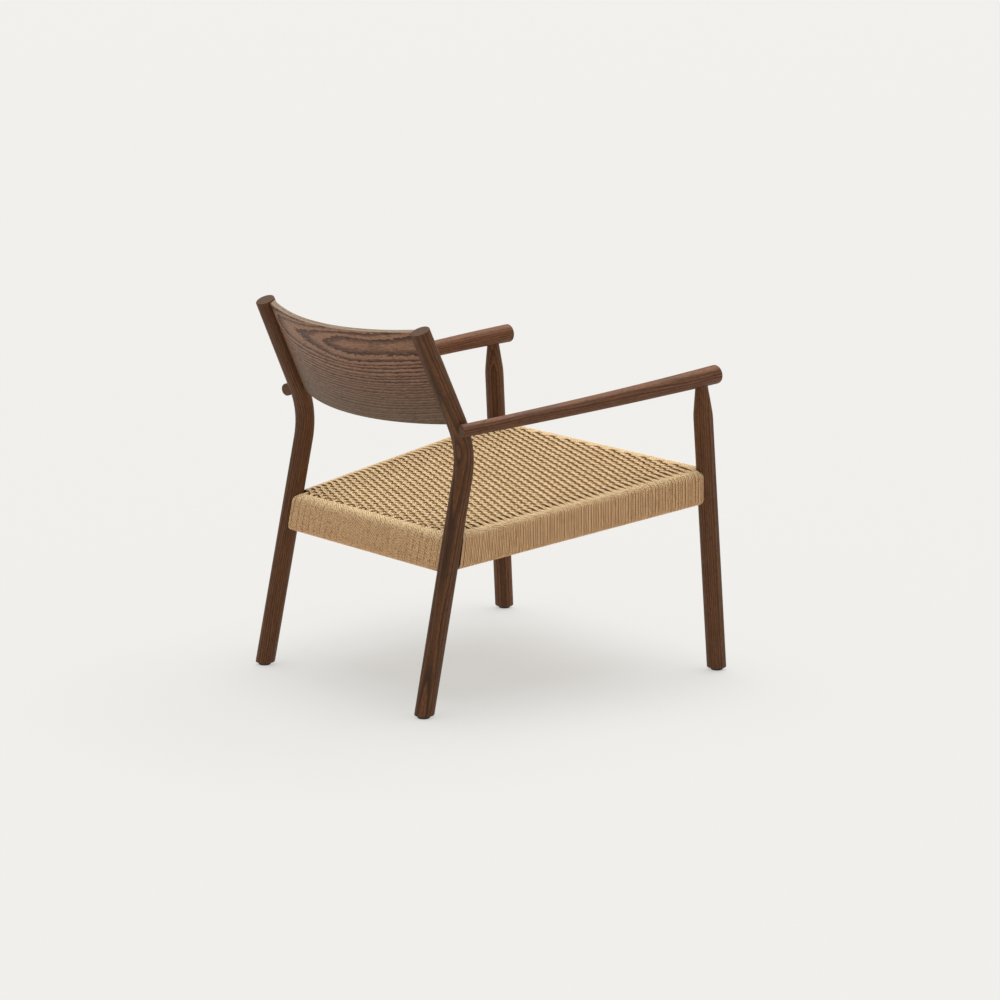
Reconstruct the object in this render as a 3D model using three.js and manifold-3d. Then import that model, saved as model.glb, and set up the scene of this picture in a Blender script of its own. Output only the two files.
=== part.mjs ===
// Lounge armchair: round wooden legs, bowed arms, a bent back panel and a seat of woven paper cord.
//
// Millimetres, +Z up. The sitter faces -Y and the sitter's left is +X. The origin is on the floor, under
// the middle of the chair's bounding box: the group is centred on it at the end of this file.

import * as THREE from 'three';
import { mergeVertices } from 'three/addons/utils/BufferGeometryUtils.js';
import Module from 'manifold-3d';

const wasm = await Module();
wasm.setup();

// ---------------------------------------------------------------- driving dimensions

const GAP = 0.3; // clearance kept between neighbouring pieces
const ROUND_SIDES = 32; // facets around a leg or an arm
const LEFT = 1; // the sitter's left, +X
const RIGHT = -1;
const REAR = 1; // towards +Y
const FRONT = -1;

// Rear legs: one round rod each. It leans forwards up to the knee and backwards above it.
const REAR_LEG = {
  radius: 18.75,
  foot: [255.5, 313.3, 0],
  knee: [250.2, 205.5, 494.9],
  top: [243.6, 309.5, 724.1],
};
const KNEE_REACH = 56; // how much of the straight parts the bend takes up, on each side of the knee
const LEG_EDGE = 1.8; // rounding of the leg ends

// Front legs: straight round rods that narrow to a neck under the arm.
const FRONT_LEG = { radius: 19, foot: [330.1, -351.3, 0], top: [319, -311.5, 580] };
const NECK = { radius: 12.3, length: 53, blend: 9 };
const ARM_TENON = { radius: 8, past: 4 }; // the tenon ends this far above the arm's centre line

// Arms: bowed outwards, thin at the back and thick at the front.
const ARM = { rear: [276.2, 239.5, 535.6], front: [316.5, -353.8, 582.7], bow: 18.3, rise: 2.2 };
const ARM_RADIUS = { rear: 12.2, front: 18.5, waist: 0.3 };
const ARM_EDGE = { rear: 1.8, front: 4 };
const DOWEL = { radius: 4, inLeg: 6, inArm: 5 }; // ends measured from the two centre lines
const DOWEL_AT = 0.028; // place along the arm, as a part of its length

// Back panel: a board bent to an arc, let into grooves in the rear legs. Heights run up along the legs
// from the knee.
const PANEL = { thickness: 12, halfWidth: 238, low: 48.2, high: 247.1, edge: 2.2 };
const PANEL_ARC = { radius: 588, apex: 41.3 }; // the apex is measured from the plane of the two legs
const PANEL_CROWN = { low: 10.1, high: 7.6 }; // how much higher the edges are in the middle

// Seat: a trapezium measured over the cord, halfway up its rails, whose top slopes down to the back. The
// faces of the side rails are upright. The front and rear rails lean with the legs that they join.
const SEAT = { rearY: 261.2, frontY: -337.4, halfRear: 257, halfFront: 336.7, height: 67.4 };
const SEAT_MIDDLE_Z = { rear: 299.2, front: 369.4 };
const CORD = 3.6; // thickness of one layer of paper cord
const WRAP_ROUND = 12; // rounding of the wrapped rails
const RAIL_THICKNESS = 24;
const WEAVE = { thickness: 8, below: 1 }; // the woven panel lies just under the top of the wrapped rails
const NAIL_LINE = 4; // height in the rail up to which cord covers the inner face of a side rail

// How far from a leg's centre line the wood of a rail and the cord around it stop. The legs are cut flat
// there. The cord of a side rail starts a little in front of the rear leg and shows some bare wood.
const STOPS = {
  front_rail: { wood: [14, 14], cord: [18, 18] },
  side_rail_left: { wood: [14.4, 15], cord: [14.4, 25] },
  rear_rail: { wood: [12, 12], cord: [12, 12] },
  side_rail_right: { wood: [15, 14.4], cord: [25, 14.4] },
};

// Tenons of the rails. The front and rear rails use the lower half of their height and the side rails
// the upper half, so that two tenons fit in one leg.
const TENON = { thickness: 9, near: 2, far: 27 };
const TENON_INSET = { across: 15, along: 11.4 }; // from the wrapped rail's outer face to the tenon's middle
const TENON_REACH = { across: 5, along: 0 }; // how far the tenons go past a leg's centre line

// Glides under the feet. A nail with a head cast into the glide goes up into the leg.
const GLIDE = { radius: 12, height: 5, edge: 1.2 };
const NAIL = { head: 4, headLow: 2, headHigh: 3.2, shank: 1.2, top: 24 };

const MATERIALS = {
  wood: { color: 0x5f4636, roughness: 0.5, metalness: 0 },
  cord: { color: 0xd7b98c, roughness: 0.85, metalness: 0 },
  glide: { color: 0x2b2622, roughness: 0.6, metalness: 0 },
  nail: { color: 0x9a9c9e, roughness: 0.35, metalness: 1 },
};

// ---------------------------------------------------------------- solids

// A closed solid from a three.js geometry: shared vertices merged, collapsed triangles left out.
function toSolid(geometry) {
  geometry.deleteAttribute('normal');
  geometry.deleteAttribute('uv');
  const merged = mergeVertices(geometry, 1e-4);
  const corners = merged.index.array;
  const triVerts = [];
  for (let i = 0; i < corners.length; i += 3) {
    const [a, b, c] = corners.slice(i, i + 3);
    if (a !== b && b !== c && c !== a) triVerts.push(a, b, c);
  }
  return new wasm.Manifold(new wasm.Mesh({
    numProp: 3,
    vertProperties: new Float32Array(merged.attributes.position.array),
    triVerts: new Uint32Array(triVerts),
  }));
}

function toMesh(name, solid, material) {
  const { vertProperties, triVerts } = solid.getMesh();
  const geometry = new THREE.BufferGeometry();
  geometry.setAttribute('position', new THREE.BufferAttribute(vertProperties, 3));
  geometry.setIndex(new THREE.BufferAttribute(triVerts, 1));
  geometry.computeVertexNormals();
  const mesh = new THREE.Mesh(geometry, new THREE.MeshStandardMaterial(MATERIALS[material]));
  mesh.name = name;
  return mesh;
}

function subtractAll(solid, cutters) {
  return cutters.reduce((rest, cutter) => rest.subtract(cutter), solid);
}

// A point given for the left side of the chair, on either side.
function onSide(side, [x, y, z]) {
  return new THREE.Vector3(side * x, y, z);
}

// Profile points of a rounded edge at one end of a rod, from the end face to the full radius.
function roundedEdge(at, radius, round, inward) {
  return [0, 30, 60, 90].map((degrees) => {
    const angle = THREE.MathUtils.degToRad(degrees);
    return [at + inward * round * (1 - Math.cos(angle)), radius - round * (1 - Math.sin(angle))];
  });
}

// A turned rod bent along a curve. The profile lists [distance along the curve, radius]. Up to
// `levelBelow` along the curve the cross-sections are level, as on a foot that stands on the floor.
function turnedRod(curve, profile, { extra = 0, levelBelow = 0 } = {}) {
  const ends = [profile[0][0], profile[profile.length - 1][0]];
  const outline = [[ends[0], 0], ...profile.map(([at, radius]) => [at, radius + extra]), [ends[1], 0]];
  const outlinePoints = outline.map(([at, radius]) => new THREE.Vector2(radius, at));
  const geometry = new THREE.LatheGeometry(outlinePoints, ROUND_SIDES);
  const position = geometry.attributes.position;
  const length = curve.getLength();
  const up = new THREE.Vector3(0, 0, 1);
  for (let i = 0; i < position.count; i += 1) {
    const at = position.getY(i);
    const part = THREE.MathUtils.clamp(at / length, 0, 1);
    const tangent = curve.getTangentAt(part);
    const across = new THREE.Vector3(1, 0, 0).addScaledVector(tangent, -tangent.x).normalize();
    const over = new THREE.Vector3().crossVectors(across, tangent);
    const offset = across.multiplyScalar(position.getX(i)).addScaledVector(over, position.getZ(i));
    if (at < levelBelow) offset.addScaledVector(tangent, -offset.dot(up) / tangent.dot(up));
    const moved = curve.getPointAt(part).add(offset);
    position.setXYZ(i, moved.x, moved.y, moved.z);
  }
  return toSolid(geometry);
}

function cylinderBetween(start, end, radius) {
  const axis = end.clone().sub(start);
  const upright = new THREE.Vector3(0, 1, 0);
  const turn = new THREE.Quaternion().setFromUnitVectors(upright, axis.clone().normalize());
  const middle = start.clone().add(end).multiplyScalar(0.5);
  const geometry = new THREE.CylinderGeometry(radius, radius, axis.length(), 24);
  geometry.applyQuaternion(turn).translate(middle.x, middle.y, middle.z);
  return toSolid(geometry);
}

// Upright turned piece at a place on the floor. The profile lists [radius, height].
function turnedUpright(profile, { x, y }) {
  const geometry = new THREE.LatheGeometry(profile.map(([radius, z]) => new THREE.Vector2(radius, z)), 24);
  geometry.rotateX(Math.PI / 2).translate(x, y, 0);
  return toSolid(geometry);
}

// ---------------------------------------------------------------- legs and arms

// Point at a given height on the line through two points.
function atHeight(a, b, z) {
  return a.clone().lerp(b, (z - a.z) / (b.z - a.z));
}

function legFoot(side, end) {
  return onSide(side, (end === REAR ? REAR_LEG : FRONT_LEG).foot);
}

// A point higher up on the straight lower part of the leg.
function legUpper(side, end) {
  return onSide(side, end === REAR ? REAR_LEG.knee : FRONT_LEG.top);
}

function legCurve(side, end) {
  const foot = atHeight(legFoot(side, end), legUpper(side, end), GLIDE.height + GAP);
  const upper = legUpper(side, end);
  if (end === FRONT) return new THREE.LineCurve3(foot, upper);
  const top = onSide(side, REAR_LEG.top);
  const bendStart = upper.clone().add(foot.clone().sub(upper).setLength(KNEE_REACH));
  const bendEnd = upper.clone().add(top.clone().sub(upper).setLength(KNEE_REACH));
  const path = new THREE.CurvePath();
  path.add(new THREE.LineCurve3(foot, bendStart));
  path.add(new THREE.QuadraticBezierCurve3(bendStart, upper, bendEnd));
  path.add(new THREE.LineCurve3(bendEnd, top));
  return path;
}

function rearLegRod(side, extra = 0) {
  const curve = legCurve(side, REAR);
  const length = curve.getLength();
  const bendFrom = curve.getCurveLengths()[0];
  const bendTo = curve.getCurveLengths()[1];
  const bendSteps = 10;
  const profile = roundedEdge(0, REAR_LEG.radius, LEG_EDGE, 1);
  for (let i = 0; i <= bendSteps; i += 1) {
    profile.push([THREE.MathUtils.lerp(bendFrom, bendTo, i / bendSteps), REAR_LEG.radius]);
  }
  profile.push(...roundedEdge(length, REAR_LEG.radius, LEG_EDGE, -1).reverse());
  return turnedRod(curve, profile, { extra, levelBelow: 10 });
}

function frontLegRod(side, extra = 0) {
  const curve = legCurve(side, FRONT);
  const length = curve.getLength();
  const { radius } = FRONT_LEG;
  const neckFrom = length - ARM_RADIUS.front - NECK.length;
  const taper = (radius - NECK.radius) / NECK.length;
  const profile = [
    ...roundedEdge(0, radius, LEG_EDGE, 1),
    [neckFrom - NECK.blend, radius],
    [neckFrom, radius - 0.25 * taper * NECK.blend],
    [neckFrom + NECK.blend, radius - taper * NECK.blend],
    [length - ARM_RADIUS.front, NECK.radius],
    [length, NECK.radius],
  ];
  return turnedRod(curve, profile, { extra, levelBelow: 10 });
}

function armCurve(side) {
  const rear = onSide(side, ARM.rear);
  const front = onSide(side, ARM.front);
  const control = rear.clone().add(front).multiplyScalar(0.5);
  control.add(onSide(side, [2 * ARM.bow, 0, 2 * ARM.rise]));
  return new THREE.QuadraticBezierCurve3(rear, control, front);
}

function armRadius(t) {
  return THREE.MathUtils.lerp(ARM_RADIUS.rear, ARM_RADIUS.front, t) - ARM_RADIUS.waist * 4 * t * (1 - t);
}

function armRod(side, extra = 0) {
  const curve = armCurve(side);
  const length = curve.getLength();
  const steps = 12;
  const profile = roundedEdge(0, armRadius(0), ARM_EDGE.rear, 1);
  for (let i = 1; i < steps; i += 1) profile.push([(length * i) / steps, armRadius(i / steps)]);
  profile.push(...roundedEdge(length, armRadius(1), ARM_EDGE.front, -1).reverse());
  return turnedRod(curve, profile, { extra });
}

// Round tenon on top of a front leg, in a blind hole in the arm.
function armTenon(side, extra = 0) {
  const foot = legFoot(side, FRONT);
  const top = legUpper(side, FRONT);
  const start = atHeight(foot, top, top.z - ARM_RADIUS.front - 5);
  const end = atHeight(foot, top, top.z + ARM_TENON.past + extra);
  return cylinderBetween(start, end, ARM_TENON.radius + extra);
}

// Hidden dowel from the outer side of a rear leg into the arm beside it.
function armDowel(side, extra = 0) {
  const inArm = armCurve(side).getPointAt(DOWEL_AT);
  const inLeg = atHeight(legFoot(side, REAR), legUpper(side, REAR), inArm.z);
  const top = onSide(side, REAR_LEG.top);
  if (inArm.z > REAR_LEG.knee[2]) inLeg.copy(atHeight(legUpper(side, REAR), top, inArm.z));
  const direction = inArm.clone().sub(inLeg).normalize();
  const start = inLeg.clone().addScaledVector(direction, DOWEL.inLeg - extra);
  const end = inArm.clone().addScaledVector(direction, DOWEL.inArm + extra);
  return cylinderBetween(start, end, DOWEL.radius + extra);
}

// ---------------------------------------------------------------- back panel

// Angle by which the upper part of a rear leg leans back.
const POST_LEAN = Math.atan2(REAR_LEG.top[1] - REAR_LEG.knee[1], REAR_LEG.top[2] - REAR_LEG.knee[2]);

function backPanel(extra = 0) {
  const { thickness, halfWidth, low, high, edge } = PANEL;
  const half = Math.asin((halfWidth + extra - edge) / PANEL_ARC.radius);
  const middle = Math.PI / 2;
  const reach = thickness / 2 + extra - edge;
  const shape = new THREE.Shape();
  shape.absarc(0, 0, PANEL_ARC.radius + reach, middle - half, middle + half, false);
  shape.absarc(0, 0, PANEL_ARC.radius - reach, middle + half, middle - half, true);
  shape.closePath();
  const geometry = new THREE.ExtrudeGeometry(shape, {
    depth: high - low + 2 * (extra - edge),
    curveSegments: 14,
    bevelThickness: edge,
    bevelSize: edge,
    bevelSegments: 3,
  });
  geometry.translate(0, PANEL_ARC.apex - PANEL_ARC.radius, low + edge - extra);
  const position = geometry.attributes.position;
  for (let i = 0; i < position.count; i += 1) {
    const height = position.getZ(i);
    const crown = THREE.MathUtils.mapLinear(height, low, high, PANEL_CROWN.low, PANEL_CROWN.high);
    position.setZ(i, height + crown * (1 - (position.getX(i) / halfWidth) ** 2));
  }
  geometry.rotateX(-POST_LEAN).translate(0, REAR_LEG.knee[1], REAR_LEG.knee[2]);
  return toSolid(geometry);
}

// ---------------------------------------------------------------- seat

// Rails in order around the seat, counter-clockwise from above, each from one leg to the next.
const RAILS = {
  front_rail: [[RIGHT, FRONT], [LEFT, FRONT]],
  side_rail_left: [[LEFT, FRONT], [LEFT, REAR]],
  rear_rail: [[LEFT, REAR], [RIGHT, REAR]],
  side_rail_right: [[RIGHT, REAR], [RIGHT, FRONT]],
};

function isSideRail(name) {
  return name.startsWith('side');
}

// The seat is drawn level, with z = 0 halfway up its rails, and then sheared to its slope.
const SEAT_SLOPE = (SEAT_MIDDLE_Z.front - SEAT_MIDDLE_Z.rear) / (SEAT.rearY - SEAT.frontY);
const levelToSloped = new THREE.Matrix4().set(
  1, 0, 0, 0,
  0, 1, 0, 0,
  0, -SEAT_SLOPE, 1, SEAT_MIDDLE_Z.rear + SEAT_SLOPE * SEAT.rearY,
  0, 0, 0, 1,
);
const slopedToLevel = levelToSloped.clone().invert();

// Half the width of the seat at a place along it, `inset` inside the side rails' outer faces.
function halfWidth(y, inset) {
  const narrowing = (SEAT.halfFront - SEAT.halfRear) / (SEAT.rearY - SEAT.frontY);
  return SEAT.halfRear + narrowing * (SEAT.rearY - y) - inset * Math.hypot(1, narrowing);
}

// Corner of the trapezium, moved in from both of its outer faces by `inset`.
function seatCorner(side, end, inset, shift = 0) {
  const y = (end === REAR ? SEAT.rearY : SEAT.frontY) - end * inset + shift;
  return new THREE.Vector2(side * halfWidth(y, inset), y);
}

// Centre of a leg in plan, at a height of the level seat.
function legInSeat(side, end, height) {
  const foot = legFoot(side, end).applyMatrix4(slopedToLevel);
  const upper = legUpper(side, end).applyMatrix4(slopedToLevel);
  const { x, y } = atHeight(foot, upper, height);
  return new THREE.Vector2(x, y);
}

// How far a leg leans along the seat for each millimetre of height.
function legLean(end) {
  return legInSeat(LEFT, end, 1).y - legInSeat(LEFT, end, 0).y;
}

function railLean(name) {
  return isSideRail(name) ? 0 : legLean(RAILS[name][0][1]);
}

function railLine(name, inset) {
  const [from, to] = RAILS[name].map(([side, end]) => seatCorner(side, end, inset));
  return { from, direction: to.clone().sub(from).normalize() };
}

// From the level seat to the chair, for a piece that leans along the seat.
function intoChair(lean) {
  return new THREE.Matrix4().makeShear(0, 0, 0, 0, 0, lean).premultiply(levelToSloped);
}

// Board with an outline in plan between two heights of the level seat.
function seatBoard(corners, low, high, lean = 0) {
  const outline = new THREE.Shape(corners);
  const geometry = new THREE.ExtrudeGeometry(outline, { depth: high - low, bevelEnabled: false });
  geometry.translate(0, 0, low).applyMatrix4(intoChair(lean));
  return toSolid(geometry);
}

function roundedSection(width, height, round) {
  const x = width / 2 - round;
  const y = height / 2 - round;
  const quarter = Math.PI / 2;
  const shape = new THREE.Shape();
  shape.absarc(x, y, round, 0, quarter);
  shape.absarc(-x, y, round, quarter, 2 * quarter);
  shape.absarc(-x, -y, round, 2 * quarter, 3 * quarter);
  shape.absarc(x, -y, round, 3 * quarter, 4 * quarter);
  return shape;
}

// Bar along a rail, `layer` thicker than the wooden rail on every face, that stops before each leg.
function railBar(name, layer, stops) {
  const { from, direction } = railLine(name, CORD + RAIL_THICKNESS / 2);
  const [start, end] = RAILS[name].map(([side, railEnd], i) => {
    const leg = legInSeat(side, railEnd, 0).sub(from).dot(direction);
    return leg + (i === 0 ? stops[0] : -stops[1]);
  });
  const height = SEAT.height - 2 * CORD;
  const round = WRAP_ROUND - CORD + layer;
  const section = roundedSection(RAIL_THICKNESS + 2 * layer, height + 2 * layer, round);
  const extrusion = { depth: end - start, bevelEnabled: false, curveSegments: 4 };
  const geometry = new THREE.ExtrudeGeometry(section, extrusion);
  const along = new THREE.Vector3(direction.x, direction.y, 0);
  const up = new THREE.Vector3(0, 0, 1);
  const place = new THREE.Matrix4().makeBasis(new THREE.Vector3().crossVectors(up, along), up, along);
  place.setPosition(from.x + direction.x * start, from.y + direction.y * start, 0);
  geometry.applyMatrix4(place).applyMatrix4(intoChair(railLean(name)));
  return toSolid(geometry);
}

// The wood of a rail or the outer shape of the cord around it, `extra` larger all around.
function railWood(name, extra = 0) {
  return railBar(name, extra, STOPS[name].wood.map((stop) => stop - extra));
}

function wrappedRail(name, extra = 0) {
  return railBar(name, CORD + extra, STOPS[name].cord.map((stop) => stop - extra));
}

// The two tenons of a rail, as one straight tongue through the rail from leg to leg.
function railTongue(name, extra = 0) {
  const side = isSideRail(name);
  const { from, direction } = railLine(name, side ? TENON_INSET.along : TENON_INSET.across);
  const height = (side ? 0.5 : -0.5) * (TENON.near + TENON.far);
  const reach = (side ? TENON_REACH.along : TENON_REACH.across) + extra;
  const [start, end] = RAILS[name].map(([legSide, legEnd], i) => {
    const leg = legInSeat(legSide, legEnd, side ? height : 0).sub(from).dot(direction);
    return from.clone().addScaledVector(direction, leg + (i === 0 ? -reach : reach));
  });
  const half = new THREE.Vector2(direction.y, -direction.x);
  half.multiplyScalar(TENON.thickness / 2 + extra);
  const outer = [start.clone().add(half), end.clone().add(half)];
  const inner = [end.clone().sub(half), start.clone().sub(half)];
  const reachUp = (TENON.far - TENON.near) / 2 + extra;
  return seatBoard([...outer, ...inner], height - reachUp, height + reachUp, railLean(name));
}

// The part of the inner face of a side rail that no cord covers, above the line of cord nails.
function bareInnerFace(name) {
  const inset = CORD + RAIL_THICKNESS - 2;
  const depth = 20;
  const near = RAILS[name].map(([side, end]) => seatCorner(side, end, inset));
  const far = RAILS[name].map(([side, end]) => seatCorner(side, end, inset + depth));
  return seatBoard([...near, ...far.reverse()], NAIL_LINE, SEAT.height / 2 - WRAP_ROUND);
}

// ---------------------------------------------------------------- assembly

const chair = new THREE.Group();
const SIDES = [['left', LEFT], ['right', RIGHT]];
const ENDS = [['front', FRONT], ['rear', REAR]];

function addPiece(name, solid, material) {
  chair.add(toMesh(name, solid, material));
}

const railNames = Object.keys(RAILS);
const seatCuts = railNames.flatMap((name) => (
  [wrappedRail(name, GAP), railWood(name, GAP), railTongue(name, GAP)]
));

for (const [sideName, side] of SIDES) {
  const nailHoles = ENDS.map(([, end]) => {
    const foot = legFoot(side, end);
    const top = foot.clone().setZ(NAIL.top + GAP);
    return cylinderBetween(foot, top, NAIL.shank + GAP);
  });
  const rearCuts = [...seatCuts, ...nailHoles, backPanel(GAP), armDowel(side, GAP)];
  addPiece(`rear_leg_${sideName}`, subtractAll(rearLegRod(side), rearCuts), 'wood');
  const frontLeg = subtractAll(frontLegRod(side), [armRod(side, GAP), ...seatCuts, ...nailHoles]);
  addPiece(`front_leg_${sideName}`, frontLeg.add(armTenon(side)), 'wood');
  const armCuts = [rearLegRod(side, GAP), armTenon(side, GAP), armDowel(side, GAP)];
  addPiece(`arm_${sideName}`, subtractAll(armRod(side), armCuts), 'wood');
  addPiece(`arm_dowel_${sideName}`, armDowel(side), 'wood');
}

addPiece('back_panel', backPanel(), 'wood');

for (const name of railNames) {
  const otherWraps = railNames.filter((other) => other !== name).map((other) => wrappedRail(other, GAP));
  addPiece(name, subtractAll(railWood(name), otherWraps).add(railTongue(name)), 'wood');
  const sleeve = wrappedRail(name).subtract(railWood(name, GAP));
  const sideCuts = isSideRail(name) ? [...otherWraps, bareInnerFace(name)] : [];
  addPiece(`${name}_wrap`, subtractAll(sleeve, sideCuts), 'cord');
}

const weaveTop = SEAT.height / 2 - WEAVE.below;
const inside = 2 * CORD + RAIL_THICKNESS + GAP;
const opening = Object.values(RAILS).map(([[side, end]]) => (
  seatCorner(side, end, inside, legLean(end) * weaveTop)
));
addPiece('woven_seat', seatBoard(opening, weaveTop - WEAVE.thickness, weaveTop), 'cord');

for (const [endName, end] of ENDS) {
  for (const [sideName, side] of SIDES) {
    const place = legFoot(side, end);
    const glide = [
      [0, 0], [GLIDE.radius - GLIDE.edge, 0], [GLIDE.radius, GLIDE.edge], [GLIDE.radius, GLIDE.height],
      [NAIL.head + GAP, GLIDE.height], [NAIL.head + GAP, NAIL.headLow - GAP], [0, NAIL.headLow - GAP],
    ];
    addPiece(`glide_${endName}_${sideName}`, turnedUpright(glide, place), 'glide');
    const nail = [
      [0, NAIL.headLow], [NAIL.head, NAIL.headLow], [NAIL.head, NAIL.headHigh], [NAIL.shank, NAIL.headHigh],
      [NAIL.shank, NAIL.top - 3], [0, NAIL.top],
    ];
    addPiece(`glide_nail_${endName}_${sideName}`, turnedUpright(nail, place), 'nail');
  }
}

const box = new THREE.Box3().setFromObject(chair);
chair.position.y = -(box.min.y + box.max.y) / 2;

export default chair;
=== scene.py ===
import math
import random

import bpy
import numpy as np
from mathutils import Matrix, Vector


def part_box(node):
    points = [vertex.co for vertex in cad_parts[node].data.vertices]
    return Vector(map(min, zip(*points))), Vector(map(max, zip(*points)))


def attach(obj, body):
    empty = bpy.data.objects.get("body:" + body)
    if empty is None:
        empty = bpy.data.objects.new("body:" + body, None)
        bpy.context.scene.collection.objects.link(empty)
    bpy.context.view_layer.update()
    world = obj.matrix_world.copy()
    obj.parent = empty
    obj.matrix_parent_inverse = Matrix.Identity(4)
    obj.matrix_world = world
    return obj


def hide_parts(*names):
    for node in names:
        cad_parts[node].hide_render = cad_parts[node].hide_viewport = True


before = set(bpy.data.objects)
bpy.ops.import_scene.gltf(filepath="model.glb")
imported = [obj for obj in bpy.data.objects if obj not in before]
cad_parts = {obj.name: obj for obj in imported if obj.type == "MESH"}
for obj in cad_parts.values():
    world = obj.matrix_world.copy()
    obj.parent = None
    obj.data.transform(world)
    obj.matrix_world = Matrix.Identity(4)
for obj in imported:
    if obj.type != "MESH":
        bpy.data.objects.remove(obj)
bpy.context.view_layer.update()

MM = 0.001
LEFT, RIGHT = 1, -1

# ---------------------------------------------------------------- seat frame, in millimetres
# The same numbers as in the CAD source. "Level" means the seat before it is sloped: x and y in plan, and h
# the height above the middle of the rails. A cord's depth on a rail is measured from the rail's outer face.

REAR_Y, FRONT_Y = 261.2, -337.4  # outer faces of the front and rear rails
HALF_REAR, HALF_FRONT = 257.0, 336.7  # outer faces of the side rails
MIDDLE_Z_REAR, MIDDLE_Z_FRONT = 299.2, 369.4
RAIL_HEIGHT, RAIL_WIDTH, RAIL_ROUND = 67.4, 31.2, 12.0
LEAN_REAR, LEAN_FRONT = -0.2235, 0.0681  # how the front and rear rails lean with the legs
REAR_RAIL_END, FRONT_RAIL_END = 240.3, 305.1
NAIL_HEIGHT = 4.0  # h of the corner of a cord nail

SLOPE = (MIDDLE_Z_FRONT - MIDDLE_Z_REAR) / (REAR_Y - FRONT_Y)
LEVEL_Z = MIDDLE_Z_REAR + SLOPE * REAR_Y
NARROWING = (HALF_FRONT - HALF_REAR) / (REAR_Y - FRONT_Y)

# The CAD source's y = 0 is not the middle of the chair. A glide shows how far the two are apart.
GLIDE_REAR_Y = 313.3
glide_low, glide_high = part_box("glide_rear_left")
SHIFT_Y = (glide_low[1] + glide_high[1]) / 2 / MM - GLIDE_REAR_Y

# ---------------------------------------------------------------- cord and weave

# Real cord has one thickness. The two in the weave were tuned until the gaps looked like the photo's.
CORD_RADIUS = 1.85  # on the rails, where the cords are wound side by side
WEAVE_RADIUS = 1.72  # cords from side to side, in the weave
WARP_RADIUS = 1.95  # cords from front to rear, in the weave
CORD_INSET = 1.8  # the cord's centre line under the outer shape of the wrapped rail
SIDES = 7  # of a cord's cross-section
ARC_STEPS = 4
# Not counted: the distance between rows gives 70 to 71.5. With 71 the floor showed along the rear rail.
ROWS = 72  # pairs of cords from side to side
WARPS = 12  # pairs of cords from front to rear on each side of the middle one
# The pairs from front to rear are WARP_PITCH_REAR apart at y = WARP_PITCH_AT and spread towards the front.
WARP_PITCH_REAR, WARP_PITCH_AT, WARP_SPREAD = 18.9, 225.0, 0.00845
WRAPS_BETWEEN_REAR, WRAPS_BETWEEN_FRONT = 3, 4  # single turns on a rail between two pairs from front to rear
WRAPS_AT_END = 9  # turns tried beyond the last pair; those past the end of the rail are left out
RAIL_END_PLAY = 0.4  # how far a turn may reach past the end of the rail
WRAP_TILT = 0.25
WEAVE_MIDDLE = 33.2  # h of the middle of the weave
WEFT_RISE, WARP_RISE = 3.8, 0.1  # how far cords from side to side and from front to rear leave the middle
WAVE_STEPS = 7  # points of a cord from side to side between two pairs from front to rear
# From the rails' inner faces to the first and last row. Below zero, the row lies over the rounded edge.
ROW_GAP_REAR, ROW_GAP_FRONT = -2.8, -3.6
# Half the distance between the two cords of a pair in the weave and on the rail, as a part of the row pitch.
PAIR, RAIL_PAIR = 0.225, 0.25
PAIR_SCATTER = 0.03
SIDE_LEAN, SIDE_SHIFT, SIDE_ROWS = -0.15, -6.6, 22  # the rearmost cords on a side rail make room for the leg
FRONT_SHIFT = -2.4  # shifts the foremost cords on a side rail towards its front end
CORNER_DEPTH = 27.1  # how deep the foremost pair goes, less than the rail's width: it cuts into the rail
SIDE_BLEND = 60.0  # from the rail inwards, the distance over which these shifts fade out
ON_RAIL_REACH = 1.5  # a cord gets thinner from halfway to the first warp
WARP_BLEND = 8.0  # the distance over which a cord from front to rear takes its thickness in the weave
RISE_STEPS = (0.08, 0.18, 0.3, 0.42, 0.54, 0.66, 0.78, 0.9)  # points between a side rail and the first warp
# A cord's start at its nail: how far behind the cord's line along the rail's inner face, and how far up.
NAIL_HOOK = ((2.5, 1.0), (0.3, -0.5), (0.0, -3.0))
LAST_ON_TOP = 3.0  # the last point on the rail's top, before the inner rounded edge
SWAY_WAVES = (1.7, 4.3, 9.1)  # waves along a cord
WEFT_SWAY, WEFT_SWAY_UP, WARP_SWAY = 0.17, 0.07, 0.12

TOP = RAIL_HEIGHT / 2 - CORD_INSET
row_rear = REAR_Y - RAIL_WIDTH + LEAN_REAR * TOP - ROW_GAP_REAR
row_front = FRONT_Y + RAIL_WIDTH + LEAN_FRONT * TOP + ROW_GAP_FRONT
ROW_PITCH = (row_rear - row_front) / (ROWS - 1)

SEED = 71
rng = random.Random(SEED)


def half_width(y):
    return HALF_REAR + NARROWING * (REAR_Y - y)


def warp_pitch(y):
    return WARP_PITCH_REAR + WARP_SPREAD * (WARP_PITCH_AT - y)


def to_row(x, y, h):
    """Points of the level seat in the row frame, in metres."""
    x, y, h = np.broadcast_arrays(*(np.asarray(v, float) for v in (x, y, h)))
    return np.stack([x, y + SHIFT_Y, h - SLOPE * y + LEVEL_Z], axis=-1) * MM


def arc(centre_d, centre_h, start, stop):
    """Points of a quarter turn of the cord around an edge of the rail, as depth and height."""
    radius = RAIL_ROUND - CORD_INSET
    turn = [math.radians(start + (stop - start) * k / ARC_STEPS) for k in range(ARC_STEPS + 1)]
    return [(centre_d + radius * math.cos(a), centre_h + radius * math.sin(a)) for a in turn]


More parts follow.
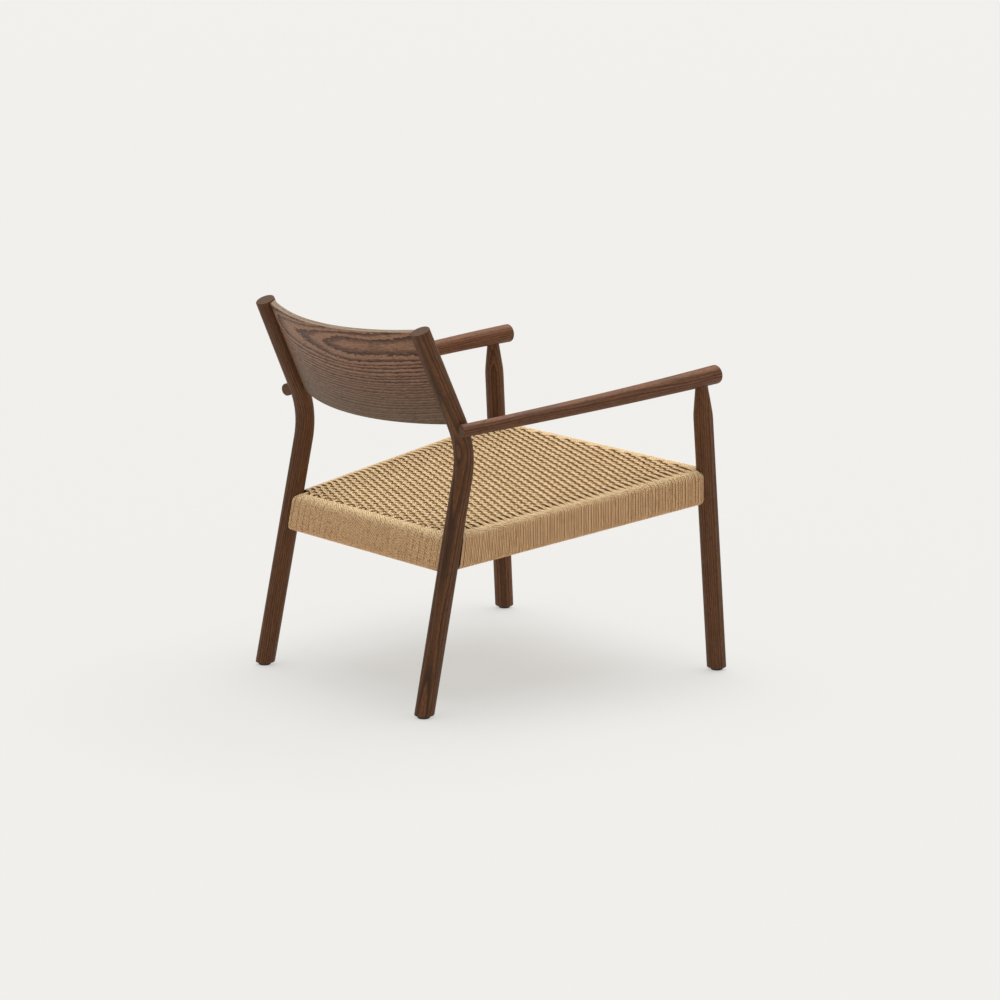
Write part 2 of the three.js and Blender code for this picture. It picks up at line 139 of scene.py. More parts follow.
def around_rail(depth=RAIL_WIDTH):
    """Cord from the nail on the inner face down, around and over the rail, as depth and height."""
    far, edge = depth - RAIL_ROUND, RAIL_HEIGHT / 2 - RAIL_ROUND
    return [
        *((depth - CORD_INSET - inside, NAIL_HEIGHT + up) for inside, up in NAIL_HOOK),
        *arc(far, -edge, 0, -90),
        *arc(RAIL_ROUND, -edge, -90, -180),
        (CORD_INSET, 0.0),
        *arc(RAIL_ROUND, edge, 180, 90),
        (far - LAST_ON_TOP, TOP),
    ]


def closed_wrap():
    """One whole turn of cord around the rail, as depth and height."""
    far, edge = RAIL_WIDTH - RAIL_ROUND, RAIL_HEIGHT / 2 - RAIL_ROUND
    return [
        *arc(far, -edge, 0, -90),
        *arc(RAIL_ROUND, -edge, -90, -180),
        *arc(RAIL_ROUND, edge, 180, 90),
        *arc(far, edge, 90, 0),
    ]


def sway(count, size):
    """Slow sideways irregularity along a cord."""
    steps = np.linspace(0, 1, count)
    total = np.zeros(count)
    for waves in SWAY_WAVES:
        total += rng.uniform(-1, 1) * np.sin(2 * math.pi * (waves * steps + rng.random()))
    return total * size


class Cords:
    """Collects round cords and makes one mesh of them."""

    def __init__(self):
        self.points, self.quads, self.uvs, self.strands, self.count = [], [], [], [], 0

    def add(self, path, across, radius=CORD_RADIUS, closed=False):
        """A cord along a path in metres. `across` is a direction square to the whole path."""
        path = np.asarray(path, float)
        n = len(path)
        radius = np.broadcast_to(radius, n)[:, None, None]
        if closed:
            tangent = np.roll(path, -1, axis=0) - np.roll(path, 1, axis=0)
        else:
            tangent = np.gradient(path, axis=0)
        tangent /= np.linalg.norm(tangent, axis=1, keepdims=True)
        side = np.asarray(across, float) - tangent * (tangent @ np.asarray(across, float))[:, None]
        side /= np.linalg.norm(side, axis=1, keepdims=True)
        over = np.cross(tangent, side)
        angle = np.arange(SIDES) * 2 * math.pi / SIDES
        ring = np.cos(angle)[None, :, None] * side[:, None] + np.sin(angle)[None, :, None] * over[:, None]
        self.points.append((path[:, None] + ring * radius * MM).reshape(-1, 3))
        steps = np.linalg.norm(np.roll(path, -1, axis=0) - path, axis=1)
        length = np.concatenate([[0], np.cumsum(steps)]) + rng.random()
        rings = n if closed else n - 1
        i = np.arange(rings)[:, None]
        k = np.arange(SIDES)[None, :]
        a, b, k2 = i * SIDES, (i + 1) % n * SIDES, (k + 1) % SIDES
        self.quads.append(np.stack([a + k, a + k2, b + k2, b + k], -1).reshape(-1, 4) + self.count)
        u0, u1 = np.broadcast_to(k / SIDES, (rings, SIDES)), np.broadcast_to((k + 1) / SIDES, (rings, SIDES))
        v0 = np.broadcast_to(length[:rings, None], (rings, SIDES))
        v1 = np.broadcast_to(length[1 : rings + 1, None], (rings, SIDES))
        corners = [np.stack(pair, -1) for pair in ((u0, v0), (u1, v0), (u1, v1), (u0, v1))]
        self.uvs.append(np.stack(corners, 2).reshape(-1, 2))
        self.strands.append(np.full(n * SIDES, rng.random()))
        self.count += n * SIDES

    def mesh(self, name):
        quads = np.concatenate(self.quads)
        mesh = bpy.data.meshes.new(name)
        mesh.vertices.add(self.count)
        mesh.vertices.foreach_set("co", np.concatenate(self.points).ravel())
        mesh.loops.add(quads.size)
        mesh.loops.foreach_set("vertex_index", quads.ravel().astype(np.int32))
        mesh.polygons.add(len(quads))
        mesh.polygons.foreach_set("loop_start", np.arange(0, quads.size, 4, dtype=np.int32))
        mesh.uv_layers.new(name="cord").data.foreach_set("uv", np.concatenate(self.uvs).ravel())
        strand = mesh.attributes.new("strand", "FLOAT", "POINT")
        strand.data.foreach_set("value", np.concatenate(self.strands))
        mesh.update(calc_edges=True)
        mesh.shade_smooth()
        mesh.validate()
        return mesh


def weft(row, place):
    """One cord from side to side: around the left rail, through the weave, around the right rail."""
    y = row_rear - row * ROW_PITCH
    rearmost = max(0.0, 1 - row / SIDE_ROWS)
    shift = SIDE_SHIFT * rearmost + FRONT_SHIFT * max(0.0, 1 - (ROWS - 1 - row) / SIDE_ROWS)
    slant = math.hypot(1, NARROWING)
    rail = np.array(around_rail(RAIL_WIDTH if row < ROWS - 1 else CORNER_DEPTH))
    rail_x = half_width(y) - rail[:, 0] * slant
    pitch = warp_pitch(y)
    edge_x = rail_x[-1]
    reach = edge_x - WARPS * pitch
    outer = 1 if (WARPS + row) % 2 == 0 else -1
    # A cord that goes over the first warp rises soon and one that goes under stays up, so no gap opens here.
    rise_x, rise_h = [], []
    for u in RISE_STEPS:
        part = u * (2 - u) if outer > 0 else u**3
        rise_x.append(edge_x - reach * u)
        rise_h.append(TOP + (WEAVE_MIDDLE + outer * WEFT_RISE - TOP) * part)
    xs, hs = [*rise_x, WARPS * pitch], [*rise_h, WEAVE_MIDDLE + outer * WEFT_RISE]
    for i in range(WARPS - 1, -WARPS - 1, -1):
        over = 1 if (i + row) % 2 == 0 else -1
        for k in range(1, WAVE_STEPS + 1):
            u = 2 * k / WAVE_STEPS - 1
            xs.append((i + 1) * pitch - pitch * k / WAVE_STEPS)
            hs.append(WEAVE_MIDDLE + over * WEFT_RISE * math.sin(math.pi / 2 * math.sin(math.pi / 2 * u)))
    xs += [-x for x in reversed(rise_x)]
    hs += reversed(rise_h)
    x = np.concatenate([rail_x, xs, -rail_x[::-1]])
    h = np.concatenate([rail[:, 1], hs, rail[::-1, 1]])
    lean = SIDE_LEAN * rearmost * (rail[:, 1] - TOP)
    leans = np.concatenate([lean, np.zeros(len(xs)), lean[::-1]])
    near = np.clip(1 - (edge_x - np.abs(x)) / SIDE_BLEND, 0, 1)
    near = near * near * (3 - 2 * near)
    on_rail = np.clip(ON_RAIL_REACH - (edge_x - np.abs(x)) / reach, 0, 1)
    pair = (PAIR + (RAIL_PAIR - PAIR) * on_rail) * (1 + PAIR_SCATTER * rng.uniform(-1, 1))
    ys = y + place * ROW_PITCH * pair + shift * near + leans + sway(len(x), WEFT_SWAY)
    radius = WEAVE_RADIUS + (CORD_RADIUS - WEAVE_RADIUS) * on_rail
    return to_row(x, ys, h + sway(len(x), WEFT_SWAY_UP)), radius


def warp(index, place):
    """One cord from rear to front."""
    rail = np.array(around_rail())
    rear_y = REAR_Y - rail[:, 0] + LEAN_REAR * rail[:, 1]
    front_y = FRONT_Y + rail[:, 0] + LEAN_FRONT * rail[:, 1]
    ys, hs = [], []
    for row in range(ROWS):
        over = 1 if (index + row) % 2 == 0 else -1
        ys += [row_rear - (row - 0.5) * ROW_PITCH, row_rear - row * ROW_PITCH]
        hs += [WEAVE_MIDDLE, WEAVE_MIDDLE - over * WARP_RISE]
    y = np.concatenate([rear_y, ys, front_y[::-1]])
    h = np.concatenate([rail[:, 1], hs, rail[::-1, 1]])
    level = np.clip(y, row_front - RAIL_ROUND, row_rear + RAIL_ROUND)
    pitch = warp_pitch(level)
    steps = [1 / (WRAPS_BETWEEN_FRONT + 2), 1 / (WRAPS_BETWEEN_REAR + 2)]
    spread = np.interp(level, [row_front, row_rear], steps) / 2
    x = pitch * (index + place * spread) + sway(len(y), WARP_SWAY)
    ends = [row_front - WARP_BLEND, row_front, row_rear, row_rear + WARP_BLEND]
    in_weave = np.interp(y, ends, [0, 1, 1, 0])
    return to_row(x, y, h), CORD_RADIUS + (WARP_RADIUS - CORD_RADIUS) * in_weave


def end_wrap(outer_y, inward, lean, x):
    """A cord once around the front or the rear rail."""
    rail = np.array(closed_wrap())
    tilt = WRAP_TILT * rng.uniform(-1, 1) * rail[:, 1] / RAIL_HEIGHT
    return to_row(x + tilt, outer_y + inward * rail[:, 0] + lean * rail[:, 1], rail[:, 1])


X_AXIS, Y_AXIS = (1, 0, 0), (0, 1, 0)

# ---------------------------------------------------------------- materials


def srgb(r, g, b):
    return (*(((c / 255 + 0.055) / 1.055) ** 2.4 if c > 10 else c / 255 / 12.92 for c in (r, g, b)), 1.0)


class Graph:
    """A material's nodes, built by short calls that take sockets or plain values."""

    def __init__(self, name):
        self.material = bpy.data.materials.new(name)
        self.material.use_nodes = True
        self.tree = self.material.node_tree
        self.shader = next(n for n in self.tree.nodes if n.type == "BSDF_PRINCIPLED")

    def node(self, kind, inputs, **settings):
        node = self.tree.nodes.new(kind)
        for key, value in settings.items():
            setattr(node, key, value)
        for key, value in inputs.items():
            self.feed(node.inputs[key], value)
        return node

    def feed(self, socket, value):
        if isinstance(value, bpy.types.NodeSocket):
            self.tree.links.new(value, socket)
        else:
            socket.default_value = value

    def math(self, operation, *values):
        return self.node("ShaderNodeMath", dict(enumerate(values)), operation=operation).outputs[0]

    def add(self, *values):
        total = values[0]
        for value in values[1:]:
            total = self.math("ADD", total, value)
        return total

    def times(self, a, b):
        return self.math("MULTIPLY", a, b)

    def line(self, at, *coefficients):
        """Polynomial of `at`, lowest power first."""
        total = coefficients[-1]
        for c in reversed(coefficients[:-1]):
            total = self.math("MULTIPLY_ADD", at, total, c)
        return total

    def position(self):
        coordinates = self.node("ShaderNodeTexCoord", {}).outputs["Object"]
        return self.node("ShaderNodeSeparateXYZ", {0: coordinates}).outputs

    def vector(self, x, y, z):
        return self.node("ShaderNodeCombineXYZ", {0: x, 1: y, 2: z}).outputs[0]

    def noise(self, vector, scale, detail=3.0, roughness=0.55):
        inputs = {"Vector": vector, "Scale": scale, "Detail": detail, "Roughness": roughness}
        return self.node("ShaderNodeTexNoise", inputs).outputs[0]

    def ramp(self, value, *stops):
        node = self.node("ShaderNodeValToRGB", {0: value})
        elements = node.color_ramp.elements
        while len(elements) < len(stops):
            elements.new(0.5)
        for element, (at, colour) in zip(elements, stops):
            element.position = at
            element.color = colour if isinstance(colour, tuple) else (colour, colour, colour, 1.0)
        return node.outputs[0]

    def mix(self, factor, a, b, blend="MIX"):
        node = self.tree.nodes.new("ShaderNodeMix")
        node.data_type, node.blend_type = "RGBA", blend
        for index, value in ((0, factor), (6, a), (7, b)):
            self.feed(node.inputs[index], value)
        return node.outputs[2]

    def range(self, value, low, high, to_low, to_high):
        inputs = {0: value, 1: low, 2: high, 3: to_low, 4: to_high}
        return self.node("ShaderNodeMapRange", inputs).outputs[0]

    def finish(self, colour, roughness, height, distance, strength=0.5, specular=0.5, metallic=0.0):
        shader = self.shader.inputs
        self.feed(shader["Base Color"], colour)
        self.feed(shader["Roughness"], roughness)
        bump = self.node("ShaderNodeBump", {"Height": height, "Distance": distance, "Strength": strength})
        self.feed(shader["Normal"], bump.outputs[0])
        shader["Specular IOR Level"].default_value = specular
        shader["Metallic"].default_value = metallic
        return self.material


LEG_TONES = (srgb(132, 84, 47), srgb(91, 57, 31), srgb(44, 27, 16))
ARM_TONES = (srgb(140, 89, 55), srgb(98, 62, 38), srgb(52, 32, 21))
PANEL_TONES = (srgb(158, 117, 90), srgb(120, 85, 65), srgb(54, 37, 29))
RAIL_TONES = (srgb(88, 60, 42), srgb(66, 44, 31), srgb(42, 28, 20))
DOWEL_TONES = (srgb(205, 170, 130), srgb(185, 148, 108), srgb(150, 112, 76))
PORE = srgb(31, 21, 15)
END_GRAIN = srgb(96, 78, 62)
GREYED = srgb(98, 84, 68)
# Painted highlight colour for the back panel's faces that point up.
PANEL_PAINTED_HIGHLIGHT = srgb(158, 142, 120)

PORES_LENGTH, FIBRE_LENGTH, CLOUD_LENGTH = 0.085, 0.03, 0.08  # scale along the grain, against 1 across it
FIBRE_SHARE, CLOUD_SHARE, LATE_MEAN, SHADE_OFFSET = 0.85, 0.55, 0.55, 0.22
PORE_SHARE, END_SHARE, GREY_SHARE = 0.6, 0.55, 0.7
SLOW_WAVES = 0.009  # how far, in metres, slow waves push the growth rings
UNEVEN_RINGS = 1.3
WOOD_BUMP = (0.00024, 0.6)  # depth in metres and strength
WOOD_SPECULAR = 0.24


def oak(name, coordinates, seed, axis, tones=LEG_TONES, pith=(0.05, 0.03), ring=0.0042, drift=0.006,
        late_share=0.42, jag=0.0006, eye=None, painted_top_highlight=None, greyed=None):
    """Stained oak. `coordinates` gives across, depth and along, in metres; end grain shows square to `axis`.

    `ring` is the width of a growth ring. `pith` is minus the place of the rings' centre, across and in
    depth, and `drift` is how far it wanders. `jag` roughens the rings. `eye` bends them into ovals around a
    place along the piece. `painted_top_highlight` is a painted highlight: the colour that faces pointing up
    are lightened towards, as where light falls on them from above, and how much of it shows. The wood turns
    greyer from the second to the first place across in `greyed`."""
    g = Graph(name)
    across, depth, along = coordinates(g)
    grain = g.vector(g.add(across, 1.7 * seed), g.add(depth, 0.9 * seed), g.times(along, CLOUD_LENGTH))
    slow = g.add(g.noise(grain, 24.0, 2.0), -0.5)
    wander = g.times(g.add(g.noise(g.vector(seed * 3.1, seed * 1.3, along), 3.2, 1.0), -0.5), drift)
    teeth = g.add(g.noise(g.vector(g.times(across, 3.0), depth, g.add(along, seed)), 85.0, 2.0, 0.6), -0.5)
    a = g.add(across, pith[0], wander)
    b = g.add(depth, pith[1], g.times(wander, 2.2))
    if eye:
        offset = g.add(along, -eye[0])
        b = g.add(b, g.times(g.times(offset, offset), eye[1]))
    radius = g.math("SQRT", g.add(g.times(a, a), g.times(b, b)))
    radius = g.add(radius, g.times(slow, SLOW_WAVES), g.times(teeth, jag))
    uneven = g.noise(g.vector(radius, seed, 0.0), 95.0, 1.0)
    rings = g.math("FRACT", g.add(g.times(radius, 1 / ring), g.times(uneven, UNEVEN_RINGS)))
    late = g.ramp(rings, (0.0, 0.05), (0.40, 0.20), (0.74, 0.80), (0.88, 1.0), (0.98, 0.05))
    fibre = g.noise(g.vector(across, depth, g.times(along, FIBRE_LENGTH)), 560.0, 4.0, 0.7)
    pores = g.noise(g.vector(across, depth, g.times(along, PORES_LENGTH)), 1250.0, 1.0)
    pore = g.times(g.ramp(pores, (0.54, 0.0), (0.66, 1.0)), g.ramp(late, (0.0, 1.0), (1.0, 0.4)))
    cloud = g.noise(grain, 7.0, 2.0)
    level = -LATE_MEAN * late_share - SHADE_OFFSET
    shade = g.add(g.times(late, late_share), g.times(fibre, FIBRE_SHARE), g.times(cloud, CLOUD_SHARE), level)
    light, middle, dark = tones
    base = g.ramp(shade, (0.12, light), (0.46, middle), (0.88, dark))
    normal = g.node("ShaderNodeNewGeometry", {}).outputs["Normal"]
    facing = g.node("ShaderNodeVectorMath", {0: normal, 1: axis}, operation="DOT_PRODUCT").outputs["Value"]
    end = g.ramp(g.math("ABSOLUTE", facing), (0.90, 0.0), (0.97, 1.0))
    if greyed:
        base = g.mix(g.range(across, *greyed, GREY_SHARE, 0.0), base, GREYED)
    # Painted highlight: faces that point up are lightened, as where light falls on them from above.
    if painted_top_highlight:
        upper = g.node("ShaderNodeSeparateXYZ", {0: normal}).outputs[2]
        base = g.mix(g.times(g.ramp(upper, (0.55, 0.0), (0.95, 1.0)), painted_top_highlight[1]), base, painted_top_highlight[0])
    base = g.mix(g.times(end, END_SHARE), base, END_GRAIN)
    colour = g.mix(g.times(pore, PORE_SHARE), base, PORE)
    roughness = g.add(0.44, g.times(fibre, 0.16), g.times(pore, 0.18), g.times(end, 0.15))
    height = g.add(g.times(late, 0.35), g.times(fibre, 0.45), g.times(pore, -0.9))
    return g.finish(colour, roughness, height, *WOOD_BUMP, WOOD_SPECULAR)


# Centre lines of the rods in the row frame, in metres, as polynomials with the lowest power first. What is
# added to a coordinate has its sign turned.
REAR_LEG_LOWER_Y, REAR_LEG_UPPER_Y, REAR_LEG_KNEE = (0.32168, -0.21782), (-0.01063, 0.45375), 0.03
REAR_LEG_MINUS_X = (-0.2555, 0.0107)
FRONT_LEG_MINUS_X, FRONT_LEG_MINUS_Y = (-0.3301, 0.01914), (0.3429, -0.0686)
ARM_PLACE = (0.4178, -1.6855)  # from y to the place along the arm, 0 behind and 1 in front
ARM_MINUS_X, ARM_MINUS_Z = (-0.2762, -0.1135, 0.0732), (-0.5356, -0.0559, 0.0088)


def rear_leg_axis(side):
    def coordinates(g):
        x, y, z = g.position()
        lower, upper = g.line(z, *REAR_LEG_LOWER_Y), g.line(z, *REAR_LEG_UPPER_Y)
        axis = g.math("SMOOTH_MAX", lower, upper, REAR_LEG_KNEE)
        return g.add(g.times(x, side), g.line(z, *REAR_LEG_MINUS_X)), g.math("SUBTRACT", y, axis), z

    return coordinates


def front_leg_axis(side):
    def coordinates(g):
        x, y, z = g.position()
        across = g.add(g.times(x, side), g.line(z, *FRONT_LEG_MINUS_X))
        return across, g.add(y, g.line(z, *FRONT_LEG_MINUS_Y)), z

    return coordinates


def arm_axis(side):
    def coordinates(g):
        x, y, z = g.position()
        t = g.line(y, *ARM_PLACE)
        across = g.add(g.times(x, side), g.line(t, *ARM_MINUS_X))
        return across, g.add(z, g.line(t, *ARM_MINUS_Z)), y

    return coordinates


PANEL_LEAN = math.atan2(104.0, 229.2)
PANEL_BEND = 0.85


def panel_axis(g):
    x, y, z = g.position()
    up = g.add(g.times(z, math.cos(PANEL_LEAN)), g.times(y, math.sin(PANEL_LEAN)))
    bend = g.times(g.times(x, x), PANEL_BEND)
    out = g.add(g.times(y, math.cos(PANEL_LEAN)), g.times(z, -math.sin(PANEL_LEAN)), bend)
    return up, out, x


def rail_axis(g):
    x, y, z = g.position()
    return y, z, x


def side_rail_axis(g):
    x, y, z = g.position()
    return x, g.add(z, g.times(y, SLOPE)), y


CORD_TURN = 0.0150  # metres of cord for one turn of its plies
PLIES, TURN_WOBBLE = 3.0, 0.35
PLY_SHARE, FOLD_SHARE, STRAND_SHARE, PATCH_SHARE, SPECKLE_SHARE = 0.75, 0.50, 0.05, 0.30, 1.0
CORD_LEVEL = -0.78
CORD_TONES = ((0.12, srgb(132, 84, 50)), (0.48, srgb(219, 178, 129)), (0.85, srgb(252, 230, 186)))
# Painted shade and light: the first colour darkens and warms cord faces that point sideways or down, the
# second is for faces that point up.
CORD_PAINTED_SHADE_LOW, CORD_PAINTED_LIGHT_UP = (0.90, 0.755, 0.68, 1.0), (1.0, 1.0, 0.97, 1.0)
# Painted shade: cord is made darker where something is near in front of it, as in the gaps and hollows
# between cords where shade falls. The reach is in metres.
PAINTED_CREVICE_SHADE_REACH, PAINTED_CREVICE_SHADE = 0.010, srgb(40, 24, 14)
CORD_BUMP = (0.0006, 0.7)  # depth in metres and strength
CORD_SPECULAR = 0.25
PLASTIC_BUMP, STEEL_BUMP = 0.00008, 0.00004


def cord_material():
    g = Graph("paper_cord")
    uv = g.node("ShaderNodeUVMap", {}, uv_map="cord").outputs[0]
    u, v, _ = g.node("ShaderNodeSeparateXYZ", {0: uv}).outputs
    strand = g.node("ShaderNodeAttribute", {}, attribute_name="strand").outputs["Fac"]
    x, y, z = g.position()
    point = g.vector(x, y, z)
    turns = g.math("MULTIPLY_ADD", v, 1 / CORD_TURN, u)
    wobble = g.times(g.noise(point, 160.0, 2.0), TURN_WOBBLE)
    phase = g.math("FRACT", g.add(g.times(turns, PLIES), wobble))
    ply = g.math("SINE", g.times(phase, math.pi))
    around = g.times(g.add(u, g.times(v, 80.0)), 6.0)
    folds = g.noise(g.vector(around, g.times(v, 9.0), g.times(strand, 40.0)), 3.0, 3.0)
    patches = g.noise(g.vector(g.times(v, 30.0), g.times(strand, 90.0), 0.0), 1.0, 3.0)
    speckle = g.noise(point, 240.0, 1.0)
    shade = g.add(g.times(ply, PLY_SHARE), g.times(folds, FOLD_SHARE), g.times(strand, STRAND_SHARE),
                  g.times(patches, PATCH_SHARE), g.times(speckle, SPECKLE_SHARE), CORD_LEVEL)
    colour = g.ramp(shade, *CORD_TONES)
    # Painted shade: cord faces that point sideways or down are made darker and warmer than the lit tops.
    normal = g.node("ShaderNodeNewGeometry", {}).outputs["Normal"]
    upper = g.ramp(g.node("ShaderNodeSeparateXYZ", {0: normal}).outputs[2], (0.1, 0.0), (0.7, 1.0))
    painted_shade_by_facing = g.mix(upper, CORD_PAINTED_SHADE_LOW, CORD_PAINTED_LIGHT_UP)
    colour = g.mix(1.0, colour, painted_shade_by_facing, "MULTIPLY")
    # Painted shade in the crevices between cords.
    painted_shade_occlusion = g.node("ShaderNodeAmbientOcclusion", {"Distance": PAINTED_CREVICE_SHADE_REACH}, samples=6).outputs["AO"]
    colour = g.mix(g.ramp(painted_shade_occlusion, (0.18, 0.96), (0.62, 0.0)), colour, PAINTED_CREVICE_SHADE)
    fibre = g.noise(point, 1500.0, 2.0)
    height = g.add(ply, g.times(folds, 0.45), g.times(fibre, 0.12))
    roughness = g.add(0.70, g.times(folds, 0.2))
    return g.finish(colour, roughness, height, *CORD_BUMP, CORD_SPECULAR)


def plastic():
    g = Graph("glide_plastic")
    x, y, z = g.position()
    grain = g.noise(g.vector(x, y, z), 900.0, 3.0)
    scuffs = g.noise(g.vector(g.times(x, 8.0), y, z), 140.0, 4.0, 0.7)
    colour = g.mix(g.ramp(scuffs, (0.5, 0.0), (0.75, 0.35)), srgb(34, 30, 27), srgb(78, 72, 66))
    return g.finish(colour, g.range(scuffs, 0.3, 0.7, 0.45, 0.7), grain, PLASTIC_BUMP)


def steel():
    g = Graph("nail_steel")
    x, y, z = g.position()
    spots = g.noise(g.vector(x, y, z), 700.0, 3.0)
    colour = g.ramp(spots, (0.3, srgb(168, 168, 166)), (0.75, srgb(120, 118, 114)))
    return g.finish(colour, g.range(spots, 0.3, 0.7, 0.28, 0.5), spots, STEEL_BUMP, metallic=1.0)


def give(name, material):
    """Puts a material on a CAD node, which keeps its mesh."""
    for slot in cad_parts[name].material_slots:
        slot.material = material


POST_AXIS = (0.0, math.sin(PANEL_LEAN), math.cos(PANEL_LEAN))
ALONG_X, ALONG_Y, UPRIGHT = (1.0, 0.0, 0.0), (0.0, 1.0, 0.0), (0.0, 0.0, 1.0)
for side_name, side in (("left", LEFT), ("right", RIGHT)):
    rear, front, arm = (f"{part}_{side_name}" for part in ("rear_leg", "front_leg", "arm"))
    side_rail, dowel = f"side_rail_{side_name}", f"arm_dowel_{side_name}"
    give(rear, oak(f"oak_{rear}", rear_leg_axis(side), 2.0 + side, POST_AXIS, pith=(0.045, 0.06)))
    give(front, oak(f"oak_{front}", front_leg_axis(side), 5.0 + side, UPRIGHT, pith=(0.06, -0.05)))
    # The arms' faces that point up get a painted highlight in their lightest tone.
    give(arm, oak(f"oak_{arm}", arm_axis(side), 8.0 + side, ALONG_Y, ARM_TONES, pith=(0.03, 0.07),
                  painted_top_highlight=(ARM_TONES[0], 0.4)))
    give(side_rail, oak(f"oak_{side_rail}", side_rail_axis, 17.0 + side, ALONG_Y, RAIL_TONES))
    give(dowel, oak(f"beech_dowel_{side_name}", rail_axis, 24.0 + side, ALONG_X, DOWEL_TONES))
# The panel's faces that point up get a painted highlight.
give("back_panel", oak("oak_back_panel", panel_axis, 13.0, ALONG_X, PANEL_TONES, pith=(-0.758, 0.012),
                       ring=0.0052, drift=0.012, late_share=0.80, jag=0.0038, eye=(-0.13, 0.13),
                       painted_top_highlight=(PANEL_PAINTED_HIGHLIGHT, 0.8), greyed=(0.59, 0.70)))
give("front_rail", oak("oak_front_rail", rail_axis, 20.0, ALONG_X, RAIL_TONES))
give("rear_rail", oak("oak_rear_rail", rail_axis, 21.0, ALONG_X, RAIL_TONES))
glide_plastic, nail_steel, paper_cord = plastic(), steel(), cord_material()
for end_name in ("front", "rear"):
    for side_name in ("left", "right"):
        give(f"glide_{end_name}_{side_name}", glide_plastic)
        give(f"glide_nail_{end_name}_{side_name}", nail_steel)

# ---------------------------------------------------------------- pieces


def add_piece(name, mesh, material):
    piece = bpy.data.objects.new(name, mesh)
    bpy.context.scene.collection.objects.link(piece)
    mesh.materials.append(material)
    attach(piece, "root")
    return piece


GROUPS = 6
for group in range(GROUPS):
    cords = Cords()
    for row in range(group * ROWS // GROUPS, (group + 1) * ROWS // GROUPS):
        for place in (1, -1):
            path, radius = weft(row, place)
            cords.add(path, Y_AXIS, radius)
    piece = add_piece(f"weft_{group + 1}", cords.mesh(f"weft_{group + 1}"), paper_cord)
    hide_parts("woven_seat", "side_rail_left_wrap", "side_rail_right_wrap")

for side_name, side in (("left", LEFT), ("right", RIGHT)):
    cords = Cords()
    for index in range(0, WARPS + 1) if side == LEFT else range(1, WARPS + 1):
        for place in (1, -1):
            path, radius = warp(side * index, place)
            cords.add(path, X_AXIS, radius)
    piece = add_piece(f"warp_{side_name}", cords.mesh(f"warp_{side_name}"), paper_cord)
    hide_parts("woven_seat", "front_rail_wrap", "rear_rail_wrap")

ENDS = (
    ("rear", REAR_Y, -1, LEAN_REAR, row_rear, WRAPS_BETWEEN_REAR, REAR_RAIL_END),
    ("front", FRONT_Y, 1, LEAN_FRONT, row_front, WRAPS_BETWEEN_FRONT, FRONT_RAIL_END),
)
for end_name, outer_y, inward, lean, row_end, between, rail_end in ENDS:
    cords = Cords()
    pitch = warp_pitch(row_end)
    step = pitch / (between + 2)
    for side in (LEFT, RIGHT):
        for index in range(WARPS + 1):
            for k in range(between if index < WARPS else WRAPS_AT_END):
                x = index * pitch + (k + 1.5) * step
                if x + CORD_RADIUS < rail_end + RAIL_END_PLAY:
                    cords.add(end_wrap(outer_y, inward, lean, side * x), X_AXIS, closed=True)
    piece = add_piece(f"{end_name}_wraps", cords.mesh(f"{end_name}_wraps"), paper_cord)
    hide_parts(f"{end_name}_rail_wrap")

NAIL_RADIUS = 0.9
NAIL_SHAPE = ((-9, 0), (0, 0), (3.2, 0), (4.3, 0.6), (4.6, 1.8), (4.6, 8.5))  # out of the wood and up
nails = Cords()


def cord_nail(at, outwards, across):
    """L-shaped nail: out of the wood and up, in front of a pair of cords."""
    points = [at + np.asarray(outwards) * out * MM + np.array([0, 0, up]) * MM for out, up in NAIL_SHAPE]
    nails.add(points, across, radius=NAIL_RADIUS)


INNER = RAIL_WIDTH - 2 * CORD_INSET
for row in range(ROWS - 1):
    y = row_rear - row * ROW_PITCH
    rearmost = max(0.0, 1 - row / SIDE_ROWS)
    for side in (LEFT, RIGHT):
        x = side * (half_width(y) - INNER * math.hypot(1, NARROWING))
        at = to_row(x, y + (SIDE_SHIFT + SIDE_LEAN * (NAIL_HEIGHT - TOP)) * rearmost, NAIL_HEIGHT)
        cord_nail(at, (-side, 0, 0), Y_AXIS)
for index in range(-WARPS, WARPS + 1):
    for _, outer_y, inward, lean, row_end, _, _ in ENDS:
        at = to_row(index * warp_pitch(row_end), outer_y + inward * INNER + lean * NAIL_HEIGHT, NAIL_HEIGHT)
        cord_nail(at, (0, inward, 0), X_AXIS)
add_piece("cord_nails", nails.mesh("cord_nails"), nail_steel)

# ---------------------------------------------------------------- stage, light and camera

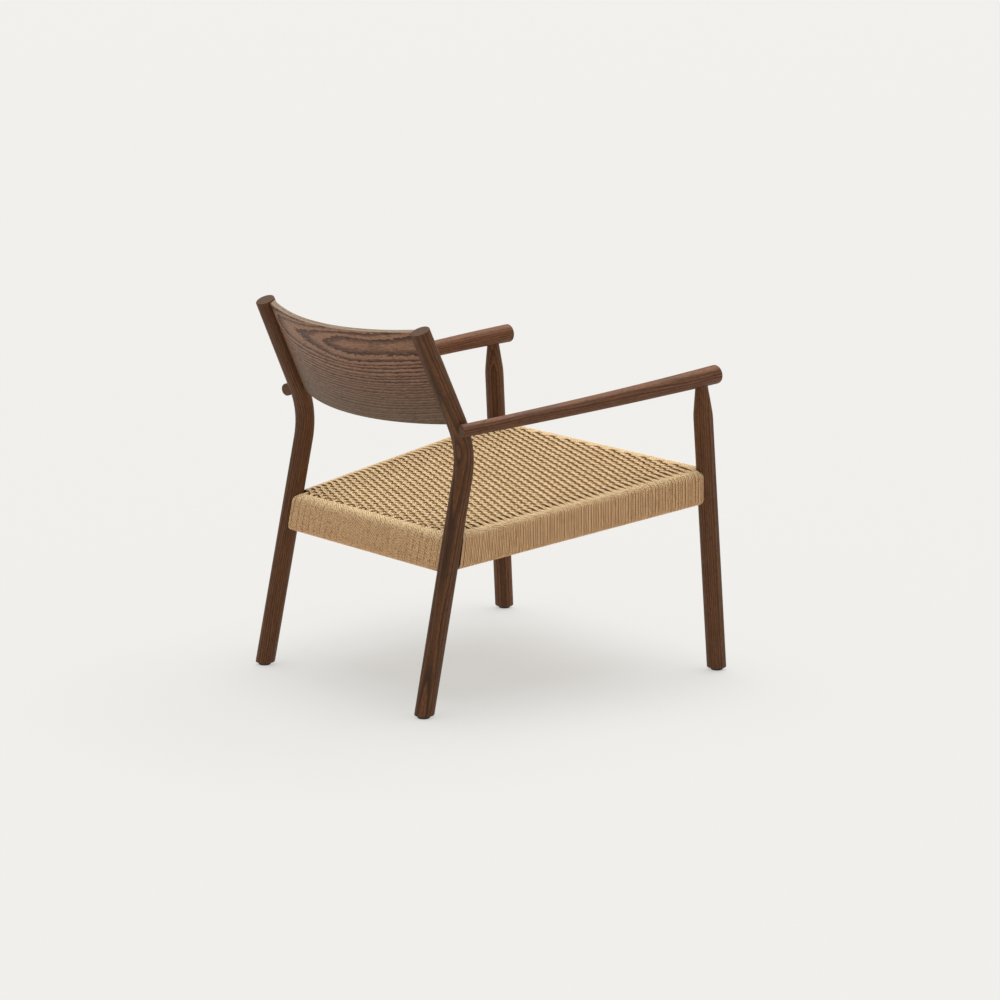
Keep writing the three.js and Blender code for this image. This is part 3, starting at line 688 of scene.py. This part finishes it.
FLOOR_SIZE = 60.0
FLOOR_COLOUR, FLOOR_ROUGHNESS, FLOOR_SPECULAR = (0.25, 0.2475, 0.24, 1.0), 0.9, 0.1
FLOOR_GLOW, FLOOR_GLOW_STRENGTH = (1.0, 0.991, 0.957, 1.0), 0.520
SKY_COLOUR, SKY_STRENGTH = (1.0, 0.995, 0.985, 1.0), 0.46
SUN_STRENGTH, SUN_ANGLE, SUN_DIRECTION = 3.0, 64, (-0.12, 0.22, -1.0)
floor_mesh = bpy.data.meshes.new("floor")
corners = [(-1, -1), (1, -1), (1, 1), (-1, 1)]
floor_mesh.from_pydata([(a * FLOOR_SIZE, b * FLOOR_SIZE, 0.0) for a, b in corners], [], [(0, 1, 2, 3)])
floor = bpy.data.objects.new("floor", floor_mesh)
bpy.context.scene.collection.objects.link(floor)
g = Graph("pale_floor")
g.shader.inputs["Base Color"].default_value = FLOOR_COLOUR
g.shader.inputs["Emission Color"].default_value = FLOOR_GLOW
g.shader.inputs["Emission Strength"].default_value = FLOOR_GLOW_STRENGTH
g.shader.inputs["Roughness"].default_value = FLOOR_ROUGHNESS
g.shader.inputs["Specular IOR Level"].default_value = FLOOR_SPECULAR
floor_mesh.materials.append(g.material)

world = bpy.data.worlds.new("studio")
bpy.context.scene.world = world
world.use_nodes = True
background = world.node_tree.nodes["Background"]
background.inputs[0].default_value = SKY_COLOUR
background.inputs[1].default_value = SKY_STRENGTH

sun = bpy.data.objects.new("key", bpy.data.lights.new("key", "SUN"))
bpy.context.scene.collection.objects.link(sun)
sun.data.energy, sun.data.angle = SUN_STRENGTH, math.radians(SUN_ANGLE)
sun.rotation_mode = "QUATERNION"
sun.rotation_quaternion = Vector(SUN_DIRECTION).to_track_quat("-Z", "Y")

bpy.context.scene.view_settings.view_transform = "Standard"

AZIMUTH, ELEVATION = math.radians(231.18), math.radians(11.90)
CAMERA_AT, LENS, SENSOR = (-5.4062, 4.2843, 1.7823), 130.46, 36.0
NEAREST, FARTHEST = 0.1, 200.0
camera = bpy.data.objects.new("camera", bpy.data.cameras.new("camera"))
bpy.context.scene.collection.objects.link(camera)
camera.data.lens, camera.data.sensor_width = LENS, SENSOR
camera.data.clip_start, camera.data.clip_end = NEAREST, FARTHEST
right = (math.cos(AZIMUTH), math.sin(AZIMUTH), 0.0)
level = math.cos(ELEVATION)
back = (math.sin(AZIMUTH) * level, -math.cos(AZIMUTH) * level, math.sin(ELEVATION))
up = np.cross(back, right)
rows = [(*row, at) for row, at in zip(zip(right, up, back), CAMERA_AT)]
camera.matrix_world = Matrix([*rows, (0, 0, 0, 1)])
bpy.context.scene.camera = camera
